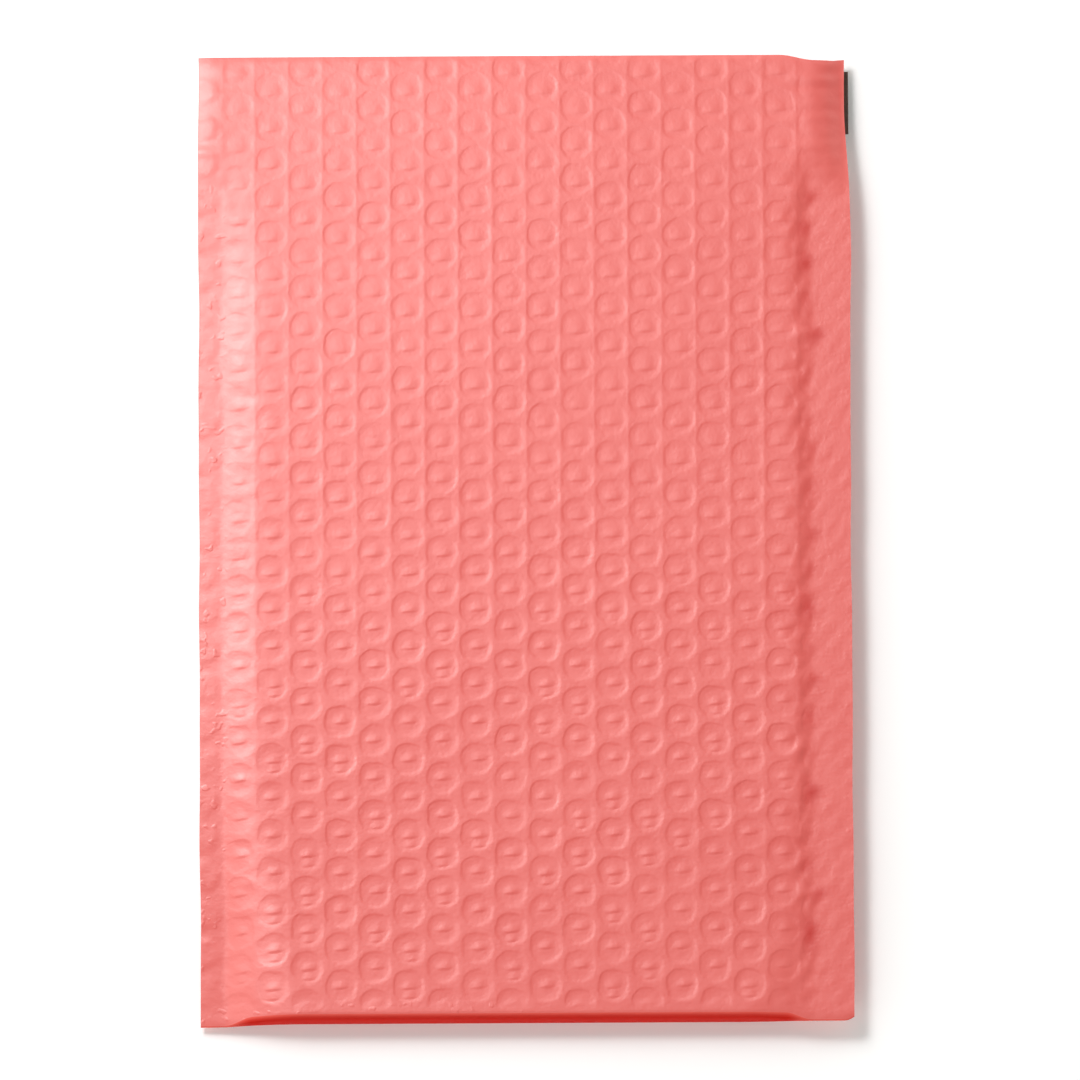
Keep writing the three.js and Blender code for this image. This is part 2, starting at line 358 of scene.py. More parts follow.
def left_seal_height(x, v):
    """Height of the left seal: low at the bottom corner, higher along the padding, and tilted."""
    rise = LEFT_SEAL_RISE * np.sin(np.clip(v / LEFT_RISE_END, 0.0, 1.0) * math.pi / 2)
    mouth = LEFT_MOUTH_RISE * within(v, *LEFT_MOUTH_SPAN)
    tilt = LEFT_SEAL_TILT * (np.minimum(x, LEFT_WELD + 2.0) + HALF_WIDTH - LEFT_SEAL_WIDTH / 2)
    return LEFT_SEAL_LOW + rise + mouth + tilt


def right_seal_height(x, v):
    """Height of the right seal, a little lower at the bottom corner and at the mouth."""
    rise = RIGHT_SEAL_RISE * ease(v / RIGHT_RISE_END)
    mouth = RIGHT_MOUTH_FALL * within(v, *RIGHT_MOUTH_SPAN)
    tilt = RIGHT_SEAL_TILT * (np.maximum(x, RIGHT_WELD - 3.0) - HALF_WIDTH + RIGHT_SEAL_WIDTH / 2)
    return RIGHT_SEAL_LOW + rise - mouth + tilt


def weld_height(x, v):
    """Height over the table of the seal on that side."""
    return np.where(x > 0, right_seal_height(x, v), left_seal_height(x, v))


def flap_under(v):
    """Inner face of the flap, which bends down past the mouth and slopes to the flap's edge."""
    past = np.maximum(v - POCKET_LENGTH, 0.0)
    bend = np.where(past < FLAP_BEND, past * past / (2.0 * FLAP_BEND), past - FLAP_BEND / 2)
    return FLAP_UNDERSIDE - FLAP_DROP * bend / (FLAP_LENGTH - FLAP_BEND / 2)


def middle(x, v):
    """Height of the plane between the two walls of the pocket."""
    p = plumpness(x, v)
    return weld_height(x, v) * (1.0 - p) + MID_HEIGHT * p


def straightened(x, v):
    """Place across the mailer, with the slight skew of the bubble columns taken out."""
    return x + COLUMN_SKEW * (v - POCKET_LENGTH / 2)


def bubble_at(x, v):
    """Column and row of the bubble at a place, and the place seen from the middle of that bubble."""
    xs = straightened(x, v)
    vs = v + ROW_SHIFT * within(v, *ROW_SHIFT_SPAN)
    column = np.floor((xs - LEFT_WELD) / COLUMN_PITCH).astype(int)
    start = np.where(column % 2 == 0, FIRST_ROW - ROW_PITCH / 2, FIRST_ROW)
    row = np.floor((vs - start) / ROW_PITCH).astype(int)
    a = xs - LEFT_WELD - (column + 0.5) * COLUMN_PITCH
    b = vs - start - (row + 0.5) * ROW_PITCH
    return column, row, a, b


def bubbles(x, v):
    """Relief of the film over the bubbles, 0 on the web between them and below it in the dishes."""
    column, row, a, b = bubble_at(x, v)
    kind = CELL_KINDS[np.clip(column + 2, 0, COLUMNS + 5), np.clip(row + 1, 0, CELL_ROWS - 1)]
    onset, strength, aside, upward, slant, twinned, stretch = (kind[..., n] for n in range(7))
    domed = within(v + DOMED_SCATTER * (onset - 0.5), *DOMED_SPAN)
    power = 2.0 + 0.3 * domed
    radius = (np.abs(a) ** power + np.abs(b) ** power) ** (1.0 / power)
    scale = (0.75 + 0.5 * strength) * (1.0 - 0.15 * within(v, *FADED_SPAN))
    # A dish is steep on its upper left and runs out gently on its lower right
    lean = (a - b) / np.maximum(np.hypot(a, b), 0.5) / math.sqrt(2.0)
    wall = DISH_WALL + 0.6 * lean + 0.2 * domed
    dish = 1.0 - ease((radius - DISH_RADIUS + wall) / wall)
    depth = DISH_DEPTH * (1.0 - 0.35 * domed)
    # A broad mound in the upper half is gentle towards the flap and steeper towards the fold
    mound_a = a + 0.8 * (aside - 0.5)
    mound_b = b - (0.1 + 0.25 * (slant - 0.5)) * mound_a + 0.3 + 0.7 * (upward - 0.5)
    fall = np.where(mound_b > 0, 3.4, 2.1)
    side = np.where(mound_a < 0, 3.6, 2.6)
    away = np.minimum(np.hypot(mound_a / side, mound_b / fall), 1.0)
    mound = 1.0 - away * away * away
    # A dish in the lower half has one short bar across it, or two thin ones
    single = bar(mound_a, mound_b + 0.2, reach=2.9 + 0.8 * (stretch - 0.5), width=1.6)
    high_bar = bar(a, b - 1.6, reach=2.4, width=1.2)
    low_bar = bar(a, b + 1.8, reach=2.6, width=1.2)
    bars = np.where(twinned < TWIN_BAR_SHARE, np.maximum(high_bar, low_bar), single)
    raised = domed * DOME_HEIGHT * mound + (1.0 - domed) * BAR_HEIGHT * bars
    film = scale * (raised * ease((DISH_RADIUS - radius) / 1.2) - depth * dish)
    # Whole bubbles stand out in the strip between the left weld and the edge
    off_rim = (np.hypot(a + 0.5, b) - CUT_BUBBLE_RADIUS) / CUT_BUBBLE_WALL
    cut = CUT_BUBBLE_HEIGHT * scale * (1.0 - ease(off_rim))
    return np.where(column < 0, cut, film)


def bar(a, b, reach, width):
    """Short ridge across a dish, gentle on its upper left and steep on its lower right."""
    across = a / (reach * np.where(a < 0, 1.15, 0.85))
    down = b / (width * np.where(b > 0, 1.3, 0.6))
    away = np.sqrt(np.abs(across) ** 3 + np.square(down))
    return np.square(np.maximum(1.0 - away * away, 0.0))


def column_ridges(x, v):
    """Tight lines of film that run along the mailer between the bubble columns of the upper half."""
    xs = straightened(x, v)
    line = np.round((xs - LEFT_WELD) / COLUMN_PITCH).astype(int)
    off = xs - LEFT_WELD - line * COLUMN_PITCH
    strength = CELL_KINDS[np.clip(line + 2, 0, COLUMNS + 5), 0, 7]
    return RIDGE_HEIGHT * strength * within(v, *RIDGE_SPAN) * bell(off / RIDGE_WIDTH)


def seal_relief(x, v):
    """Fine dents and slanting crinkles of the flat seals."""
    right = RIGHT_CRINKLE * seal_crinkle(x, v) + RIGHT_DENT * seal_dent(x, v)
    left = LEFT_DENT * seal_dent(x, v) + LEFT_CRINKLE * seal_crinkle(x, -v)
    return np.where(x > 0, right, left)


def upper_relief(x, v):
    """Everything that stands out of or sinks into the upper film."""
    soft = within(plumpness(x, v), 0.15, 0.65)
    right_faint = RIGHT_SEAL_SHARE + RIGHT_CORNER_SHARE * bell(v / RIGHT_CORNER_REACH)
    faint = np.where(x > 0, right_faint, LEFT_SEAL_SHARE)
    relief = bubbles(x, v) * (faint + (1.0 - faint) * soft)
    relief = relief + column_ridges(x, v) * soft
    inside = np.maximum(np.minimum(x - LEFT_WELD, RIGHT_WELD - x), 0.0)
    relief = relief + TENSION_HEIGHT * np.exp(-inside / TENSION_FADE) * soft * tension(x, v)
    relief = relief + SWAY_HEIGHT * soft * sway(x, v)
    crumpled = bell((x - shingled_edge(v) + CRUMPLE_INSET) / CRUMPLE_WIDTH) * (1.0 - released(v))
    relief = relief + CRUMPLE_HEIGHT * crumpled * seal_dent(1.2 * x, 0.9 * v)
    relief = relief + seal_relief(x, v) * (1.0 - soft)
    return relief * ease((v - FOLD_TOP) / FOLD_RELIEF_FADE)


def wall_thickness(x, v):
    """Thickness of one wall: crushed to film in the seals, and rounded off at the cut edges of the flap."""
    return (HALF_SEAL + (WALL - HALF_SEAL) * plumpness(x, v)) * cut_edge(x, v)


def cut_edge(x, v):
    """Rounding-off of the wall at the end and the left edge of the flap."""
    tip = 1.0 - FLAP_TIP_LOSS * ease((v - LENGTH + FLAP_TIP_ROUNDING) / FLAP_TIP_ROUNDING)
    cut = np.maximum(LEFT_WELD - x, 0.0) / LEFT_SEAL_WIDTH
    return tip * (1.0 - FLAP_SIDE_LOSS * cut * cut * released(v))


def top_height(x, v):
    """Height of the upper film, from the welded pocket to the loose flap."""
    seal_top = weld_height(x, v) + HALF_SEAL
    pocket = seal_top + (PAD - seal_top) * welded_plumpness(x, v)
    flap_wall = HALF_SEAL + (WALL - HALF_SEAL) * loose_plumpness(x)
    flap = flap_under(v) + flap_wall * cut_edge(x, v)
    return pocket + (flap - pocket) * released(v)


def bottom_height(x, v):
    """Height of the lower film, which lies on the table between the seals."""
    return middle(x, v) - HALF_SLACK * plumpness(x, v) - wall_thickness(x, v)


def draw_in(x, v):
    """Sideways place of a point: the free edges waver slightly, and the right one bulges and draws in."""
    edge = np.clip((np.abs(x) - EDGE_ZONE_START) / EDGE_ZONE_WIDTH, 0.0, 1.0)
    waver = EDGE_WAVER * edge_wave(np.sign(x) * 70.0, v)
    inset = np.where(x > 0, RIGHT_EDGE_INSET, LEFT_EDGE_INSET)
    narrowed = np.where(x > 0, RIGHT_NARROWING * within(v, *RIGHT_NARROWING_SPAN), 0.0)
    bulged = np.where(x > 0, RIGHT_BULGE * bell((v - RIGHT_BULGE_MIDDLE) / RIGHT_BULGE_REACH), 0.0)
    return x + np.sign(x) * edge * (waver - inset - narrowed + bulged)


def corner_dip(x):
    """How far the flap's edge falls back towards its right corner."""
    return CORNER_DIP * within(x, *CORNER_DIP_SPAN) - CORNER_RETURN * within(x, *CORNER_RETURN_SPAN)


def worn_corner(x, v):
    """How far the bottom right corner is rounded off."""
    across = np.square(np.clip((x - HALF_WIDTH + WORN_WIDTH) / WORN_WIDTH, 0.0, 1.0))
    return WORN_CORNER * across * np.clip(1.0 - v / WORN_LENGTH, 0.0, 1.0)


def place_along(x, v):
    """Place of a point along the mailer, from the fold to the flap's edge."""
    near_tip = ease((v - LENGTH + FLAP_TIP_REACH) / FLAP_TIP_REACH)
    return v - (FLAP_TIP_FALL + corner_dip(x)) * near_tip + worn_corner(x, v) - LENGTH / 2


def grid_places(bm, across, along):
    """A flat grid of that many stations, and the station of each of its vertices."""
    made = bmesh.ops.create_grid(bm, x_segments=across - 1, y_segments=along - 1, size=1.0)
    verts = made["verts"]
    flat = np.array([vert.co[:2] for vert in verts])
    i = np.rint((flat[:, 0] + 1.0) / 2.0 * (across - 1)).astype(int)
    j = np.rint((flat[:, 1] + 1.0) / 2.0 * (along - 1)).astype(int)
    return verts, i, j


def move_to(verts, x, y, z):
    """Sets the vertices at these places, given in millimetres."""
    for vert, place in zip(verts, np.stack([x, y, z], axis=1) * MM):
        vert.co = place


def mark_painted_shade(bm, verts, shade):
    """Notes at each vertex how much painted shade the film takes, round the bottom fold and in the crease of
    the right weld.
    """
    layer = bm.verts.layers.float["fold_shade"]
    for vert, value in zip(verts, shade):
        vert[layer] = value


def across_stations():
    """Places across the mailer: the left seal, the bubble columns, the margin and the right seal."""
    left = np.linspace(-HALF_WIDTH, LEFT_WELD, LEFT_SEAL_STATIONS)
    cells = np.arange(1, COLUMNS * CELLS_ACROSS + 1) / CELLS_ACROSS
    columns = LEFT_WELD + COLUMN_PITCH * cells
    margin = np.linspace(columns[-1], RIGHT_WELD, MARGIN_STATIONS)[1:]
    right = np.linspace(RIGHT_WELD, HALF_WIDTH, RIGHT_SEAL_STATIONS)[1:]
    return np.concatenate([left, columns, margin, right])


def along_stations():
    """Places along the upper film, from just past the fold to the flap's edge."""
    count = int((LENGTH - FOLD_TOP) / ROW_PITCH * CELLS_ALONG)
    rows = FOLD_TOP + ROW_PITCH / CELLS_ALONG * np.arange(count + 1)
    return np.append(rows, LENGTH)


def upper_film(bm):
    """The back wall and the flap, with the fold at the bottom as the first rows."""
    xs = across_stations()
    vs = along_stations()
    verts, i, j = grid_places(bm, len(xs), len(vs) + FOLD_ROWS)
    x = xs[i]
    in_fold = j < FOLD_ROWS
    v = np.where(in_fold, FOLD_TOP, vs[np.maximum(j - FOLD_ROWS, 0)])
    z = top_height(x, v) + upper_relief(x, v)
    y = place_along(x, v)
    # The fold is a squared half round from the lower film to the upper one
    turn = np.radians(FOLD_TURN * (2.0 * np.minimum(j, FOLD_ROWS - 1) / (FOLD_ROWS - 1) - 1.0))
    power = 2.0 / FOLD_SQUARE
    low = bottom_height(x, v)
    half = (z - low) / 2.0
    turned_z = low + half + half * np.sign(np.sin(turn)) * np.abs(np.sin(turn)) ** power
    plump = plumpness(x, v)
    filled = ease(plump / HALF_PLUMP)
    start = FOLD_DRAW_IN * plump
    deep = FOLD_EDGE + (FOLD_TOP - FOLD_EDGE) * filled
    turned_in = start + (deep - start) * (1.0 - np.abs(np.cos(turn)) ** power)
    turned_y = turned_in + worn_corner(x, 0.0) - LENGTH / 2
    z = np.where(in_fold, turned_z, z)
    y = np.where(in_fold, turned_y, y)
    move_to(verts, draw_in(x, v), y, z)
    # Painted shade: the fold's rows and the crease of the right weld take the deep red of shade
    shade = ease((FOLD_ROWS - 1.0 - j) / FOLD_SHADE_ROWS) * filled
    shade = shade + np.where(in_fold, 0.0, crease_painted_shade(x, v))
    mark_painted_shade(bm, verts, shade)
    # The fold's faces take the copy of the film with painted shade and almost no reflection
    front = {vert for vert, row in zip(verts, j) if row < FOLD_ROWS}
    for face in bm.faces:
        if all(vert in front for vert in face.verts):
            face.material_index = FOLD_SHADE_PLACE


def lower_film(bm):
    """The front wall, its edge at the mouth, and the inner face of the flap, with the row of each vertex."""
    xs = across_stations()[::2]
    front = np.linspace(FRONT_START, POCKET_LENGTH, FRONT_ROWS)
    flap = np.linspace(POCKET_LENGTH, LENGTH, FLAP_ROWS)
    vs = np.concatenate([front, [POCKET_LENGTH], flap])
    verts, i, j = grid_places(bm, len(xs), len(vs))
    x = xs[i]
    v = vs[j]
    held = np.minimum(v, POCKET_LENGTH)
    p = plumpness(x, held)
    hollow = np.maximum(-FRONT_RELIEF * bubbles(x, v), 0.0) * within(p, 0.5, 0.9)
    hollow = hollow * ease((POCKET_LENGTH - FRONT_BAND - v) / FRONT_BAND_FADE)
    outside = bottom_height(x, held) + hollow
    rim = middle(x, held) - HALF_SLACK * p
    under = top_height(x, v) - wall_thickness(x, v)
    z = np.where(j < FRONT_ROWS, outside, np.where(j == FRONT_ROWS, rim, under))
    move_to(verts, draw_in(x, v), place_along(x, v), z)
    # Painted shade on the front wall, fading away from the bottom fold
    mark_painted_shade(bm, verts, np.exp(-(v - FOLD_TOP) / FOLD_SHADE_FADE) * ease(p / HALF_PLUMP))
    return dict(zip(verts, j))


def line_inside(bm, row_of):
    """Gives the inner faces past the mouth the lining's finish, and returns those that close the mouth."""
    mouth = []
    for face in bm.faces:
        if not all(vert in row_of for vert in face.verts):
            continue
        rows = [row_of[vert] for vert in face.verts]
        if min(rows) < FRONT_ROWS:
            continue
        face.material_index = LINING_PLACE
        middle_x = sum(vert.co.x for vert in face.verts) / 4 / MM
        open_here = LEFT_WELD + LEFT_SHOULDER < middle_x < RIGHT_WELD - RIGHT_SHOULDER - 1.0
        if min(rows) == FRONT_ROWS and max(rows) == FRONT_ROWS + 1 and open_here:
            mouth.append(face)
    return mouth


def pouch():
    """The whole pouch as one closed skin: upper film, lower film, their joined edge, and the pocket."""
    bm = bmesh.new()
    bm.verts.layers.float.new("fold_shade")
    upper_film(bm)
    row_of = lower_film(bm)
    bmesh.ops.bridge_loops(bm, edges=[edge for edge in bm.edges if edge.is_boundary])
    # The faces at the mouth are pushed in between the walls
    mouth = line_inside(bm, row_of)
    pocket = bmesh.ops.extrude_face_region(bm, geom=mouth)
    moved = [piece for piece in pocket["geom"] if isinstance(piece, bmesh.types.BMVert)]
    bmesh.ops.delete(bm, geom=mouth, context="FACES_ONLY")
    bmesh.ops.translate(bm, verts=moved, vec=Vector((0, -(POCKET_LENGTH - POCKET_END) * MM, 0)))
    bmesh.ops.recalc_face_normals(bm, faces=bm.faces)
    for face in bm.faces:
        face.smooth = True
    for edge in bm.edges:
        if edge.calc_face_angle(0.0) > math.radians(SHARP_ANGLE):
            edge.smooth = False
    return piece_of("padded_pouch", bm)


def piece_of(name, bm):
    """The finished mesh as a piece of the scene."""
    mesh = bpy.data.meshes.new(name)
    bm.to_mesh(mesh)
    bm.free()
    piece = bpy.data.objects.new(name, mesh)
    bpy.context.scene.collection.objects.link(piece)
    return piece


def smooth_span(tree, value, start, end, low, high):
    """The value from start to end, smoothly turned into low to high."""
    span = tree.nodes.new("ShaderNodeMapRange")
    span.interpolation_type = "SMOOTHSTEP"
    span.inputs["From Min"].default_value = start
    span.inputs["From Max"].default_value = end
    span.inputs["To Min"].default_value = low
    span.inputs["To Max"].default_value = high
    tree.links.new(value, span.inputs["Value"])
    return span.outputs["Result"]


class Finish:
    """A finish in the making: a plain shader, and the nodes that are wired into it."""

    def __init__(self, name, color, roughness):
        self.material = bpy.data.materials.new(name)
        self.material.use_nodes = True
        self.tree = self.material.node_tree
        self.shader = self.tree.nodes["Principled BSDF"]
        self.put("Base Color", (*color, 1.0))
        self.put("Roughness", roughness)
        self.place = self.tree.nodes.new("ShaderNodeTexCoord").outputs["Object"]

    def put(self, quality, value):
        """Sets a quality of the shader to one value."""
        self.shader.inputs[quality].default_value = value

    def wire(self, quality, socket):
        """Lets a node decide a quality of the shader."""
        self.tree.links.new(socket, self.shader.inputs[quality])

    def noise(self, scale, detail):
        """Noise on the piece's own coordinates."""
        noise = self.tree.nodes.new("ShaderNodeTexNoise")
        noise.inputs["Scale"].default_value = scale
        noise.inputs["Detail"].default_value = detail
        self.tree.links.new(self.place, noise.inputs["Vector"])
        return noise.outputs["Fac"]

    def spread(self, noise, low, high):
        """The noise's middle stretched from low to high."""
        span = self.tree.nodes.new("ShaderNodeMapRange")
        span.inputs["From Min"].default_value = 0.3
        span.inputs["From Max"].default_value = 0.7
        span.inputs["To Min"].default_value = low
        span.inputs["To Max"].default_value = high
        self.tree.links.new(noise, span.inputs["Value"])
        return span.outputs["Result"]

    def two_tone(self, noise, dark, light):
        """A colour that drifts between two tones."""
        ramp = self.tree.nodes.new("ShaderNodeValToRGB")
        ramp.color_ramp.elements[0].color = (*dark, 1.0)
        ramp.color_ramp.elements[0].position = 0.35
        ramp.color_ramp.elements[1].color = (*light, 1.0)
        ramp.color_ramp.elements[1].position = 0.65
        self.tree.links.new(noise, ramp.inputs["Fac"])
        return ramp.outputs["Color"]

    def roughen(self, height, strength, distance):
        """Fine relief from a height."""
        bump = self.tree.nodes.new("ShaderNodeBump")
        bump.inputs["Strength"].default_value = strength
        bump.inputs["Distance"].default_value = distance
        self.tree.links.new(height, bump.inputs["Height"])
        self.wire("Normal", bump.outputs["Normal"])

    def paint_fold_and_crease_shade(self, color):
        """Colour of the film, with painted shade where the fold_shade attribute is noted: round the bottom
        fold and in the crease of the right weld.
        """
        fold = self.tree.nodes.new("ShaderNodeAttribute")
        fold.attribute_name = "fold_shade"
        deepen = self.tree.nodes.new("ShaderNodeMix")
        deepen.data_type = "RGBA"
        self.tree.links.new(fold.outputs["Fac"], deepen.inputs[0])
        self.tree.links.new(color, deepen.inputs[6])
        deepen.inputs[7].default_value = (*PAINTED_SHADE_TONE, 1.0)
        self.wire("Base Color", deepen.outputs[2])


class Field:
    """A number at each point of a surface, worked out by math nodes."""

    def __init__(self, tree, socket):
        self.tree = tree
        self.socket = socket

    def step(self, operation, *others):
        """One math node on this number and the others."""
        node = self.tree.nodes.new("ShaderNodeMath")
        node.operation = operation
        for place, value in zip(node.inputs, (self,) + others):
            if isinstance(value, Field):
                self.tree.links.new(value.socket, place)
            else:
                place.default_value = value
        return Field(self.tree, node.outputs["Value"])

    def __add__(self, other):
        return self.step("ADD", other)

    def __sub__(self, other):
        return self.step("SUBTRACT", other)

    def __mul__(self, other):
        return self.step("MULTIPLY", other)

    def __truediv__(self, other):
        return self.step("DIVIDE", other)

    def within(self, start, end):
        """0 before start, 1 past end, smooth between them."""
        return Field(self.tree, smooth_span(self.tree, self.socket, start, end, 0.0, 1.0))

    def between(self, low, high):
        """Low where this number is 0, high where it is 1."""
        return self * (high - low) + low


def three_chances(tree, column, row):
    """Three chances for each bubble."""
    cell = tree.nodes.new("ShaderNodeCombineXYZ")
    tree.links.new(column.socket, cell.inputs[0])
    tree.links.new(row.socket, cell.inputs[1])
    dice = tree.nodes.new("ShaderNodeTexWhiteNoise")
    dice.noise_dimensions = "2D"
    tree.links.new(cell.outputs[0], dice.inputs["Vector"])
    thrown = tree.nodes.new("ShaderNodeSeparateXYZ")
    tree.links.new(dice.outputs["Color"], thrown.inputs[0])
    return [Field(tree, thrown.outputs[name]) for name in ("X", "Y", "Z")]


def bubble_rim(a, b, waver):
    """Rim of a bubble between round and square: 0 outside, -1 inside, sharper on the upper left."""
    wide = a.step("ABSOLUTE").step("POWER", RIM_POWER)
    tall = (b.step("ABSOLUTE") * RIM_STRETCH).step("POWER", RIM_POWER)
    radius = (wide + tall).step("POWER", 1.0 / RIM_POWER) + waver
    lean = (a - b) / radius.step("MAXIMUM", 0.5)
    wall = lean * 0.25 + 1.25
    return ((radius - RIM_RADIUS) / wall + 1.0).within(0.0, 1.0) - 1.0


def short_tick(a, b, reach):
    """Short ridge across a bubble, 1 at its middle, gentle above and steep below."""
    width = b.step("GREATER_THAN", 0.0).between(1.1, 2.7)
    away = ((a / reach) * (a / reach) + (b / width) * (b / width)).step("SQRT")
    return away.within(0.0, 1.0).between(1.0, 0.0)


def seal_crinkles(finish, x):
    """Crinkles that run across the seals, stronger on the right one, and specks, stronger on the left one."""
    tree = finish.tree
    drawn = tree.nodes.new("ShaderNodeVectorMath")
    drawn.operation = "MULTIPLY"
    drawn.inputs[1].default_value = CRINKLE_PITCH
    tree.links.new(finish.place, drawn.inputs[0])
    crinkle = tree.nodes.new("ShaderNodeTexNoise")
    crinkle.inputs["Scale"].default_value = 1.0
    crinkle.inputs["Detail"].default_value = 3.0
    tree.links.new(drawn.outputs[0], crinkle.inputs["Vector"])
    on_left = x.step("LESS_THAN", 0.0)
    waves = Field(tree, crinkle.outputs["Fac"]).between(0.5, -0.5) * CRINKLE_HEIGHT
    specks = Field(tree, finish.noise(scale=330.0, detail=1.0)).within(0.62, 0.74)
    return waves * on_left.between(0.8, 0.5) + specks * on_left.between(0.015, 0.065)


def fine_relief(finish):
    """Rims and ticks of the bubbles, lines between their columns and crinkles of the seals, as a height."""
    tree = finish.tree
    split = tree.nodes.new("ShaderNodeSeparateXYZ")
    tree.links.new(finish.place, split.inputs[0])
    x = Field(tree, split.outputs["X"]) / MM
    v = Field(tree, split.outputs["Y"]) / MM + LENGTH / 2
    upper = v.within(*UPPER_SPAN)
    # Bubble at each point, and the point seen from the middle of that bubble
    across = (x + (v - POCKET_LENGTH / 2) * COLUMN_SKEW - LEFT_WELD) / COLUMN_PITCH
    column = across.step("FLOOR")
    shifted = v + v.within(*ROW_SHIFT_SPAN) * ROW_SHIFT
    along = (shifted - FIRST_ROW) / ROW_PITCH + 0.5 - column.step("FLOORED_MODULO", 2.0) * 0.5
    row = along.step("FLOOR")
    a = (across - column - 0.5) * COLUMN_PITCH
    b = (along - row - 0.5) * ROW_PITCH
    first, second, third = three_chances(tree, column, row)
    # Uneven rims, weaker in the upper half and near the left weld
    uneven = Field(tree, finish.noise(scale=240.0, detail=1.0)) - 0.5
    rims = bubble_rim(a, b, uneven * RIM_WAVER) * RIM_DEPTH * first.between(0.6, 1.4)
    rims = rims * upper.between(1.0, 0.7) * x.within(LEFT_WELD + 8.0, LEFT_WELD + 30.0).between(0.7, 1.0)
    # A tick across each bubble, some with a second one under it in the lower half
    tick_a = a + second - 0.7
    tick_b = b - tick_a * TICK_SLANT + third.between(-0.4, 0.4) + upper * TICK_LOWERED
    twins = third.step("GREATER_THAN", 0.7) * upper.between(0.8, 0.0)
    ticks = short_tick(tick_a, tick_b, upper.between(3.2, 4.1))
    ticks = ticks + short_tick(tick_a, tick_b + TWIN_TICK_DROP, TWIN_TICK_REACH) * twins
    ticks = ticks * TICK_HEIGHT * upper.between(1.0, 0.6)
    ticks = ticks * x.within(LEFT_WELD + 2.0, LEFT_WELD + 14.0).between(0.75, 1.0)
    # A tight line of film between two columns in the upper half
    half_pitch = COLUMN_PITCH / 2
    lines = a.step("ABSOLUTE").within(half_pitch - LINE_HALF_WIDTH, half_pitch) * upper * LINE_HEIGHT
    # The padding has the bubbles, and the seals beside it have the crinkles
    padding = x.within(LEFT_WELD + 0.5, LEFT_WELD + 3.0) * v.within(4.0, 7.0)
    padding = padding * x.within(RIGHT_WELD - 4.0, RIGHT_WELD - 1.0).between(1.0, 0.0)
    sealed = v.within(POCKET_LENGTH - 12.0, POCKET_LENGTH + 6.0).between(1.0, 0.0)
    seals = seal_crinkles(finish, x) * padding.between(1.0, 0.0) * sealed
    grain = Field(tree, finish.noise(scale=700.0, detail=3.0)) * GRAIN_HEIGHT
    return ((rims + ticks + lines) * padding + seals + grain).socket


def coral_film():
    """Satin coral film with a faint haze, with painted shade round the bottom fold and in the crease of the
    right weld.
    """
    film = Finish("coral_film", color=(0.81, 0.115, 0.09), roughness=0.46)
    cloud = film.noise(scale=45.0, detail=2.0)
    film.paint_fold_and_crease_shade(film.two_tone(cloud, dark=(0.8, 0.106, 0.089), light=(0.82, 0.118, 0.099)))
    patch = film.noise(scale=260.0, detail=3.0)
    film.wire("Roughness", film.spread(patch, low=0.43, high=0.49))
    film.put("Specular IOR Level", 0.78)
    film.put("IOR", 1.8)
    film.roughen(fine_relief(film), strength=1.0, distance=MM)
    return film.material


def fold_painted_shade_film():
    """The same film round the bottom fold, with painted shade: deeper in colour and with almost no
    reflection.
    """
    film = Finish("fold_painted_shade_film", color=PAINTED_SHADE_TONE, roughness=0.6)
    cloud = film.noise(scale=120.0, detail=2.0)
    film.paint_fold_and_crease_shade(film.two_tone(cloud, dark=(0.80, 0.109, 0.085), light=(0.82, 0.121, 0.095)))
    # Almost no reflection, so that the painted shade on the fold stays dark
    film.put("Specular IOR Level", 0.1)
    return film.material


def pearl_lining():
    """Pale pink inner film."""
    lining = Finish("pearl_lining", color=(0.9, 0.62, 0.58), roughness=0.32)
    cloud = lining.noise(scale=60.0, detail=2.0)
    lining.wire("Base Color", lining.two_tone(cloud, dark=(0.86, 0.56, 0.52), light=(0.92, 0.66, 0.62)))
    lining.roughen(lining.noise(scale=500.0, detail=3.0), strength=0.25, distance=0.0002)
    return lining.material


def honey_adhesive():
    """Clear honey-coloured adhesive."""
    honey = Finish("honey_adhesive", color=(0.87, 0.79, 0.62), roughness=0.18)
    cloud = honey.noise(scale=160.0, detail=3.0)
    honey.wire("Base Color", honey.two_tone(cloud, dark=(0.83, 0.74, 0.56), light=(0.89, 0.82, 0.66)))
    honey.roughen(honey.noise(scale=900.0, detail=2.0), strength=0.2, distance=0.0001)
    return honey.material


def release_paper():
    """Smooth dark brown release paper."""
    paper = Finish("release_paper", color=(0.15, 0.11, 0.09), roughness=0.5)
    cloud = paper.noise(scale=900.0, detail=4.0)
    paper.wire("Base Color", paper.two_tone(cloud, dark=(0.135, 0.1, 0.08), light=(0.165, 0.12, 0.1)))
    paper.roughen(paper.noise(scale=2200.0, detail=3.0), strength=0.15, distance=0.00005)
    return paper.material


def white_table():
    """Matt white table top, lifted a little so that it stays white in the picture."""
    table = Finish("white_table", color=(0.98, 0.98, 0.98), roughness=0.9)
    table.put("Specular IOR Level", 0.0)
    table.put("Emission Color", (1.0, 1.0, 1.0, 1.0))
    table.put("Emission Strength", 0.12)
    return table.material


def table_top():
    """The pale surface that the mailer lies on."""
    bm = bmesh.new()
    bmesh.ops.create_grid(bm, x_segments=1, y_segments=1, size=6.0)
    bmesh.ops.translate(bm, verts=bm.verts, vec=Vector((0, 0, -0.0001)))
    floor = piece_of("table_top", bm)
    floor.data.materials.append(white_table())


def soft_light(name, towards, distance, side, power):
    """A square soft light that looks at the middle of the mailer, in metres and watts."""
    lamp = bpy.data.lights.new(name, "AREA")
    lamp.shape = "SQUARE"
    lamp.size = side
    lamp.energy = power
    holder = bpy.data.objects.new(name, lamp)
    holder.location = Vector(towards).normalized() * distance
    holder.rotation_mode = "QUATERNION"
    holder.rotation_quaternion = (-holder.location).to_track_quat("-Z", "Y")
    bpy.context.scene.collection.objects.link(holder)


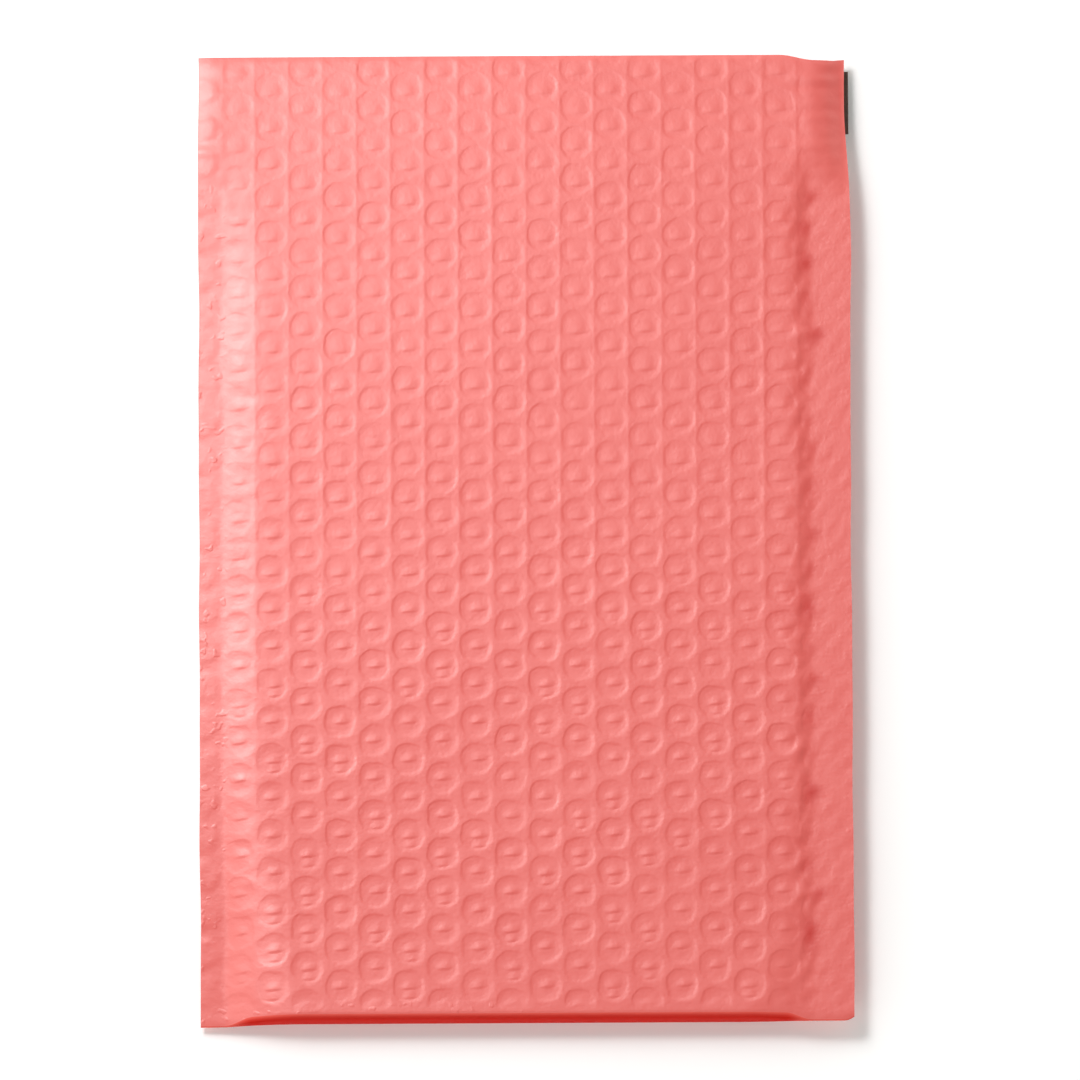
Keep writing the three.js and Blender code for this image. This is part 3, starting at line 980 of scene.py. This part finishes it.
def studio():
    """Pale surroundings, brighter at the upper left and dark overhead, with two windows and a weak fill."""
    world = bpy.data.worlds.new("studio")
    bpy.context.scene.world = world
    world.use_nodes = True
    tree = world.node_tree
    sky = tree.nodes["Background"]
    sky.inputs["Color"].default_value = (0.985, 1.0, 0.945, 1.0)
    place = tree.nodes.new("ShaderNodeTexCoord").outputs["Generated"]
    split = tree.nodes.new("ShaderNodeSeparateXYZ")
    tree.links.new(place, split.inputs[0])
    facing = tree.nodes.new("ShaderNodeVectorMath")
    facing.operation = "DOT_PRODUCT"
    facing.inputs[1].default_value = (-0.7, 0.7, 0.0)
    tree.links.new(place, facing.inputs[0])
    wall = smooth_span(tree, facing.outputs["Value"], start=-0.6, end=0.6, low=0.65, high=1.55)
    overhead = smooth_span(tree, split.outputs["Z"], start=0.45, end=0.8, low=1.0, high=0.02)
    glow = Field(tree, wall) * Field(tree, overhead)
    tree.links.new(glow.socket, sky.inputs["Strength"])
    soft_light("near_window", towards=(-0.36, 0.40, 0.82), distance=0.62, side=0.28, power=1.5)
    soft_light("far_window", towards=(-0.45, 0.43, 0.85), distance=4.0, side=1.0, power=53.0)
    soft_light("front_fill", towards=(-0.05, -0.60, 0.50), distance=0.78, side=0.4, power=0.75)
    bpy.context.scene.view_settings.view_transform = "Standard"


def camera():
    """Long lens, nearly overhead, as in the photograph."""
    distance = 10.0
    pixels_per_mm = 3.265
    picture_pixels = 1080.0
    tilt = math.radians(76.5)
    aim = Vector((4.6, -0.5, 4.8)) * MM
    lens = bpy.data.cameras.new("camera")
    lens.sensor_width = 36.0
    lens.lens = pixels_per_mm * lens.sensor_width * distance / MM / picture_pixels
    lens.clip_end = 50.0
    holder = bpy.data.objects.new("camera", lens)
    back = Vector((0.0, -math.cos(tilt), math.sin(tilt)))
    holder.location = aim + back * distance
    holder.rotation_mode = "QUATERNION"
    look = (-back).to_track_quat("-Z", "Y")
    roll = Quaternion((0, 0, 1), math.radians(-0.3))
    holder.rotation_quaternion = look @ roll
    bpy.context.scene.collection.objects.link(holder)
    bpy.context.scene.camera = holder


padded = pouch()
for finish in (coral_film(), pearl_lining(), fold_painted_shade_film()):
    padded.data.materials.append(finish)
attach(padded, "root")
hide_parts("mailer_pouch")

for node, finish in (("adhesive_strip", honey_adhesive()), ("release_liner", release_paper())):
    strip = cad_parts[node]
    strip.data.materials.clear()
    strip.data.materials.append(finish)

table_top()
studio()
camera()
